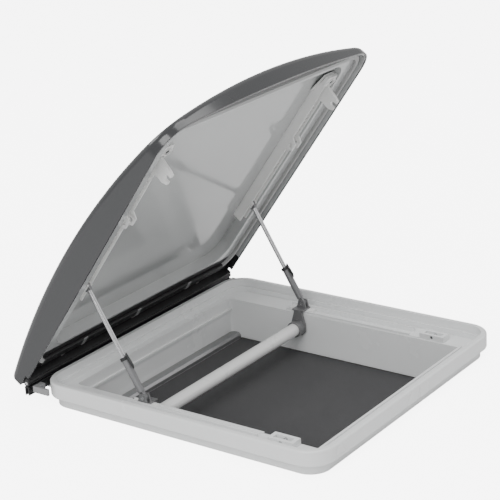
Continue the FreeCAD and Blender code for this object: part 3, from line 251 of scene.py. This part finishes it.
def drawn_metal(name, tone, roughness, stretch, scale=1200.0, height=0.08, **sockets):
    """A drawn or brushed metal with lines along its length."""
    material, tree, shader = start_material(name, {k.replace("_", " "): v for k, v in sockets.items()})
    lines = use(tree, DRAWN, {"Line Scale": scale, "Height": height, "Stretch": stretch})
    darker = tuple(0.8 * value for value in tone)
    tree.links.new(two_tones(tree, lines.outputs["Lines"], tone, darker), shader.inputs["Base Color"])
    rough = node(tree, "ShaderNodeMath", {0: lines.outputs["Lines"], 1: 0.15, 2: roughness},
                 operation="MULTIPLY_ADD")
    tree.links.new(rough.outputs[0], shader.inputs["Roughness"])
    tree.links.new(lines.outputs["Normal"], shader.inputs["Normal"])
    return material


def blackout_cloth(name):
    material, tree, shader = start_material(name, {"Sheen Weight": 0.15})
    weave = use(tree, WEAVE, {"Threads": 700.0, "Height": 0.25})
    tree.links.new(two_tones(tree, weave.outputs["Thread"], (0.022, 0.022, 0.024),
                             (0.042, 0.042, 0.045)), shader.inputs["Base Color"])
    skin = use(tree, MOULDED, {"Roughness": 0.75, "Drift": 0.15, "Grain Scale": 300.0,
                               "Grain Height": 0.0})
    tree.links.new(skin.outputs["Roughness"], shader.inputs["Roughness"])
    tree.links.new(weave.outputs["Normal"], shader.inputs["Normal"])
    return material


white_frame = coated("white_frame_plastic", (0.80, 0.81, 0.81), (0.86, 0.86, 0.86), 0.26, 0.12,
                     Coat_Weight=0.35, Coat_Roughness=0.12)
white_rail = coated("white_rail_plastic", (0.84, 0.84, 0.83), (0.88, 0.88, 0.87), 0.36, 0.12,
                    edge=0.0006)
smoked = coated("smoked_acrylic", (0.030, 0.031, 0.033), (0.06, 0.06, 0.064), 0.14, 0.05, 300.0,
                0.004, 0.002, Coat_Weight=0.3, Coat_Roughness=0.06)
pane = coated("pane_acrylic", (0.47, 0.48, 0.48), (0.55, 0.55, 0.55), 0.14, 0.08, 300.0, 0.006,
              0.0015, Coat_Weight=0.5, Coat_Roughness=0.06)
black_hinge = coated("black_hinge_plastic", (0.010, 0.010, 0.011), (0.035, 0.035, 0.036), 0.40, 0.2,
                     500.0, 0.05)
grey_metal = coated("grey_coated_metal", (0.20, 0.20, 0.205), (0.34, 0.34, 0.34), 0.38, 0.2,
                    1500.0, 0.06, 0.0007, Metallic=0.4)
black_spring = coated("black_spring_plastic", (0.015, 0.015, 0.016), (0.05, 0.05, 0.05), 0.35)
grey_plastic = coated("grey_plastic", (0.28, 0.28, 0.285), (0.40, 0.40, 0.40), 0.45)
tube_paint = coated("white_tube_paint", (0.80, 0.80, 0.79), (0.86, 0.86, 0.85), 0.28, 0.1, 700.0,
                    0.03, Coat_Weight=0.4, Coat_Roughness=0.1)
seal_rubber = coated("black_seal_rubber", (0.02, 0.02, 0.02), (0.04, 0.04, 0.04), 0.75, 0.2, 400.0,
                     0.2)
pale_foam = coated("pale_seal_rubber", (0.40, 0.40, 0.40), (0.46, 0.46, 0.46), 0.7, 0.2, 600.0, 0.15)
bright_steel = drawn_metal("bright_steel", (0.62, 0.62, 0.63), 0.16, (1.0, 1.0, 1.0), 400.0, 0.03,
                           Metallic=1.0)
bar_aluminium = drawn_metal("brushed_aluminium", (0.34, 0.34, 0.345), 0.3, (0.01, 1.0, 1.0),
                            Metallic=0.75)
cloth = blackout_cloth("blackout_cloth")

FINISHES = {
    "frame_plastic": white_frame, "rail_plastic": white_rail, "seal_rubber": seal_rubber,
    "lid_seal_foam": pale_foam, "hinge_plastic": black_hinge, "grey_plastic": grey_plastic,
    "steel": bright_steel, "cap_plastic": white_rail, "smoked_acrylic": smoked,
    "clear_acrylic": pane, "dark_metal": grey_metal, "spring_black": black_spring,
    "bar_white": tube_paint, "blind_cloth": cloth, "pull_bar_grey": bar_aluminium,
    "roller_alu": bar_aluminium,
}


def finish_nodes():
    slots = {part["node"]: part["material_slot"] for part in frame["record"]["subparts"]}
    for name, item in frame["nodes"].items():
        item.data.materials.clear()
        item.data.materials.append(FINISHES[slots[name]])


# ---------------------------------------------------------------- pieces made here
def lid_place():
    """From the lid's own axes, which start on the hinge, to the frame's."""
    return Matrix.Translation(HINGE) @ Matrix.Rotation(-LID_OPEN, 4, "X")


def link(name, mesh, material=None):
    piece = bpy.data.objects.new(name, mesh)
    bpy.context.scene.collection.objects.link(piece)
    if material:
        mesh.materials.append(material)
    return piece


def block(name, low, high, material, bevel=0.0006):
    """A box between two corners with softened edges, in its own axes."""
    made = bmesh.new()
    bmesh.ops.create_cube(made, size=1.0)
    low, high = Vector(low), Vector(high)
    for vertex in made.verts:
        vertex.co = Vector(((low[i] + high[i]) / 2 + vertex.co[i] * (high[i] - low[i])
                            for i in range(3)))
    bmesh.ops.bevel(made, geom=list(made.edges), offset=bevel, segments=3, profile=0.5,
                    affect="EDGES")
    mesh = bpy.data.meshes.new(name)
    made.to_mesh(mesh)
    made.free()
    return link(name, mesh, material)


def ring(name, centre, half_long, half_wide, wall, height, material, turns=48):
    """An oval rim standing on the X-Y plane: four loops of points joined round."""
    mesh = bpy.data.meshes.new(name)
    points, faces = [], []
    loops = [(0.0, 0.0), (0.0, height), (wall, height), (wall, 0.0)]
    for inset, rise in loops:
        for step in range(turns):
            angle = 2 * math.pi * step / turns
            points.append((centre[0] + (half_wide - inset) * math.cos(angle),
                           centre[1] + (half_long - inset) * math.sin(angle), centre[2] + rise))
    for loop in range(4):
        below, above = loop * turns, (loop + 1) % 4 * turns
        for step in range(turns):
            after = (step + 1) % turns
            faces.append((below + step, below + after, above + after, above + step))
    mesh.from_pydata(points, [], faces)
    return link(name, mesh, material)


def settle(piece, matrix, body):
    """Move a piece's mesh to its place, turn its faces outwards and hang it on its body."""
    piece.data.transform(matrix)
    made = bmesh.new()
    made.from_mesh(piece.data)
    bmesh.ops.recalc_face_normals(made, faces=list(made.faces))
    made.to_mesh(piece.data)
    made.free()
    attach(piece, body)
    return piece


def start_geometry_tree(name, inputs):
    """A geometry tree with named inputs; returns it with its start node."""
    tree = bpy.data.node_groups.new(name, "GeometryNodeTree")
    for socket, kind in (("Geometry", "NodeSocketGeometry"), *inputs):
        tree.interface.new_socket(socket, in_out="INPUT", socket_type=kind)
    tree.interface.new_socket("Geometry", in_out="OUTPUT", socket_type="NodeSocketGeometry")
    return tree, tree.nodes.new("NodeGroupInput")


def end_geometry_tree(tree, points, instance, material):
    """Set the instance on every point, make it real and paint it."""
    spread = node(tree, "GeometryNodeInstanceOnPoints", {"Points": points, "Instance": instance})
    solid = node(tree, "GeometryNodeRealizeInstances", {"Geometry": spread.outputs["Instances"]})
    painted = node(tree, "GeometryNodeSetMaterial", {"Geometry": solid.outputs["Geometry"],
                                                     "Material": material})
    node(tree, "NodeGroupOutput", {"Geometry": painted.outputs["Geometry"]})
    return tree


def make_row_tree():
    """A row of equal bars: count, first place and step, and the size of one bar."""
    tree, start = start_geometry_tree("row_of_ribs", (
        ("Count", "NodeSocketInt"), ("First Place", "NodeSocketVector"),
        ("Step", "NodeSocketVector"), ("Rib Size", "NodeSocketVector"),
        ("Material", "NodeSocketMaterial")))
    row = node(tree, "GeometryNodeMeshLine", {"Count": start.outputs["Count"],
                                              "Start Location": start.outputs["First Place"],
                                              "Offset": start.outputs["Step"]})
    bar = node(tree, "GeometryNodeMeshCube", {"Size": start.outputs["Rib Size"]})
    return end_geometry_tree(tree, row.outputs["Mesh"], bar.outputs["Mesh"],
                             start.outputs["Material"])


def make_fastener_tree():
    """One fastener set on every point of a mesh."""
    tree, start = start_geometry_tree("set_of_fasteners", (
        ("Fastener", "NodeSocketObject"), ("Material", "NodeSocketMaterial")))
    shape = node(tree, "GeometryNodeObjectInfo", {"Object": start.outputs["Fastener"]})
    return end_geometry_tree(tree, start.outputs["Geometry"], shape.outputs["Geometry"],
                             start.outputs["Material"])


def baked(name, points, tree, values):
    """A plain mesh from a geometry tree, with its inputs set by name."""
    seed_mesh = bpy.data.meshes.new(name + "_points")
    seed_mesh.from_pydata(points, [], [])
    seed = link(name + "_points", seed_mesh)
    step = seed.modifiers.new("tree", "NODES")
    step.node_group = tree
    for socket in tree.interface.items_tree:
        if socket.in_out == "INPUT" and socket.name in values:
            step[socket.identifier] = values[socket.name]
    seen = seed.evaluated_get(bpy.context.evaluated_depsgraph_get())
    mesh = bpy.data.meshes.new_from_object(seen)
    mesh.name = name
    bpy.data.objects.remove(seed)
    bpy.data.meshes.remove(seed_mesh)
    return link(name, mesh)


def make_rail_ribs():
    """Ladder ribs across the inside of each lid rail."""
    tree = make_row_tree()
    for name, side in (("left", -1), ("right", 1)):
        for number, (first, count) in enumerate(RIB_RUNS, start=1):
            ribs = baked(f"rail_ribs_{name}_{number}", [(0, 0, 0)], tree,
                         {"Count": count, "First Place": (side * RAIL_MIDDLE, first, RIB_HEIGHT),
                          "Step": (0.0, -RIB_STEP, 0.0), "Rib Size": RIB_SIZE,
                          "Material": white_rail})
            settle(ribs, lid_place(), "lid")


def cross_recess_head(radius, height, turns=48, rings=10):
    """A round screw head with a softened rim and a cross-shaped recess, closed underneath."""
    made = bmesh.new()
    loops = []
    for ring_number in range(1, rings + 1):
        reach = radius * ring_number / rings
        loop = []
        for step in range(turns):
            angle = 2 * math.pi * step / turns
            x, y = reach * math.cos(angle), reach * math.sin(angle)
            arm, wide = 0.62 * radius, 0.16 * radius
            inside = (abs(x) < arm and abs(y) < wide) or (abs(y) < arm and abs(x) < wide)
            crown = height * (1.0 - 0.45 * (reach / radius) ** 4)
            loop.append(made.verts.new((x, y, 0.35 * height if inside else crown)))
        loops.append(loop)
    loops.append([made.verts.new((v.co.x, v.co.y, 0.0)) for v in loops[-1]])
    middle, foot = made.verts.new((0, 0, 0.35 * height)), made.verts.new((0, 0, 0))
    for step in range(turns):
        after = (step + 1) % turns
        made.faces.new((middle, loops[0][step], loops[0][after]))
        made.faces.new((foot, loops[-1][after], loops[-1][step]))
        for inner, outer in zip(loops, loops[1:]):
            made.faces.new((inner[step], outer[step], outer[after], inner[after]))
    bmesh.ops.recalc_face_normals(made, faces=list(made.faces))
    mesh = bpy.data.meshes.new("cross_recess_head")
    made.to_mesh(mesh)
    made.free()
    return link("cross_recess_head", mesh)


def make_head_boxes():
    """The closed box at the free end of each rail, its oval screw rim and its screw."""
    tree = make_fastener_tree()
    fastener = cross_recess_head(SCREW_RADIUS, SCREW_HEIGHT)
    places = []
    for name, side in (("left", -1), ("right", 1)):
        middle = side * HEAD_MIDDLE
        box = block(f"rail_head_{name}", (middle - HEAD_HALF_WIDTH, HEAD_RUN[0], HEAD_LEVELS[0]),
                    (middle + HEAD_HALF_WIDTH, HEAD_RUN[1], HEAD_LEVELS[1]), white_rail, HEAD_BEVEL)
        settle(box, lid_place(), "lid")
        rim = ring(f"rail_head_rim_{name}", (middle, RIM_PLACE, RIM_LEVEL), RIM_HALF_LONG,
                   RIM_HALF_WIDE, RIM_WALL, RIM_HEIGHT, white_rail)
        settle(rim, lid_place(), "lid")
        places.append((middle, -RIM_PLACE, -SCREW_LEVEL))
    screws = baked("rail_head_screws", places, tree, {"Fastener": fastener, "Material": black_spring})
    bpy.data.objects.remove(fastener)
    settle(screws, lid_place() @ Matrix.Rotation(math.pi, 4, "X"), "lid")


def make_rear_strip():
    """The black strip that covers the lid seal along the hinge."""
    strip = block("rear_cover_strip", (-STRIP_HALF_LENGTH, *STRIP_LOW),
                  (STRIP_HALF_LENGTH, *STRIP_HIGH), black_hinge, STRIP_BEVEL)
    settle(strip, lid_place(), "lid")
    for number, across in enumerate(CLIP_PLACES, start=1):
        clip = block(f"strip_clip_{number}", (across - CLIP_HALF_WIDTH, *CLIP_LOW),
                     (across + CLIP_HALF_WIDTH, *CLIP_HIGH), grey_plastic, CLIP_BEVEL)
        settle(clip, lid_place(), "lid")


def make_blind_cloth():
    """The blind's cloth, drawn across the opening with faint ripples between its side grooves."""
    low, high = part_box("blind_fabric")
    columns, rows = CLOTH_COLUMNS, CLOTH_ROWS
    middle = (low.z + high.z) / 2
    points, faces = [], []
    for row in range(rows + 1):
        for column in range(columns + 1):
            across, along = column / columns, row / rows
            held = math.sin(math.pi * across) * math.sin(math.pi * along)
            ripple = RIPPLE_HEIGHT * math.sin(RIPPLES * math.pi * along) + CLOTH_SAG
            points.append((low.x + across * (high.x - low.x), low.y + along * (high.y - low.y),
                           middle - held * ripple))
    for row in range(rows):
        for column in range(columns):
            first = row * (columns + 1) + column
            faces.append((first, first + 1, first + columns + 2, first + columns + 1))
    mesh = bpy.data.meshes.new("blind_cloth")
    mesh.from_pydata(points, [], faces)
    mesh.polygons.foreach_set("use_smooth", [True] * len(faces))
    piece = link("blind_cloth", mesh, cloth)
    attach(piece, "frame")
    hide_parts("blind_fabric")
    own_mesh(piece)


# ---------------------------------------------------------------- studio
def make_floor():
    """A pale roof surface with the hole that the neck goes through."""
    low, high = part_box("inner_trim_frame")
    middle_y = (low.y + high.y) / 2
    half_x, half_y = (side / 2 for side in ROOF_HOLE)
    reach = 8.0
    inner = [(-half_x, middle_y - half_y), (half_x, middle_y - half_y), (half_x, middle_y + half_y),
             (-half_x, middle_y + half_y)]
    outer = [(-reach, -reach), (reach, -reach), (reach, reach), (-reach, reach)]
    mesh = bpy.data.meshes.new("roof")
    points = [(x, y, -0.0002) for x, y in outer + inner]
    faces = [(i, (i + 1) % 4, (i + 1) % 4 + 4, i + 4) for i in range(4)]
    mesh.from_pydata(points, [], faces)
    floor = bpy.data.objects.new("roof", mesh)
    bpy.context.scene.collection.objects.link(floor)
    material, tree, shader = start_material("pale_floor", {
        "Roughness": 0.6, "Base Color": (0.86, 0.86, 0.86, 1), "Emission Color": (6, 6, 6, 1)})
    seen = node(tree, "ShaderNodeLightPath").outputs["Is Camera Ray"]
    tree.links.new(seen, shader.inputs["Emission Strength"])
    mesh.materials.append(material)


def add_light(name, place, target, size, power):
    data = bpy.data.lights.new(name, "AREA")
    data.shape = "RECTANGLE"
    data.size, data.size_y = size
    data.energy = power
    lamp = bpy.data.objects.new(name, data)
    bpy.context.scene.collection.objects.link(lamp)
    lamp.location = place
    lamp.rotation_euler = (Vector(target) - Vector(place)).to_track_quat("-Z", "Y").to_euler()


def make_studio():
    make_floor()
    world = bpy.data.worlds.new("studio")
    bpy.context.scene.world = world
    world.use_nodes = True
    background = world.node_tree.nodes["Background"]
    background.inputs["Color"].default_value = (1, 1, 1, 1)
    background.inputs["Strength"].default_value = 0.75
    add_light("key", (-2.2, -0.5, 1.7), (0, 0, 0.1), (1.6, 1.6), 44)
    add_light("fill", (2.2, -1.6, 1.4), (0, 0, 0.1), (1.8, 1.2), 8)
    add_light("rim", (-0.6, 2.4, 1.8), (0, 0, 0.2), (1.6, 1.0), 16)
    add_light("top", (0.5, -0.5, 3.0), (0, 0, 0), (2.0, 2.0), 40)


def make_camera():
    data = bpy.data.cameras.new("camera")
    data.lens = LENS
    data.sensor_width = 36
    camera = bpy.data.objects.new("camera", data)
    bpy.context.scene.collection.objects.link(camera)
    right = CAMERA_RIGHT.normalized()
    back = right.cross(CAMERA_UP).normalized()
    up = back.cross(right)
    turn = Matrix((right, up, back)).transposed()
    camera.matrix_world = Matrix.Translation(CAMERA_PLACE) @ turn.to_4x4()
    data.clip_start, data.clip_end = 0.05, 50
    bpy.context.scene.camera = camera


finish_nodes()
make_rail_ribs()
make_head_boxes()
make_rear_strip()
make_blind_cloth()
make_studio()
make_camera()
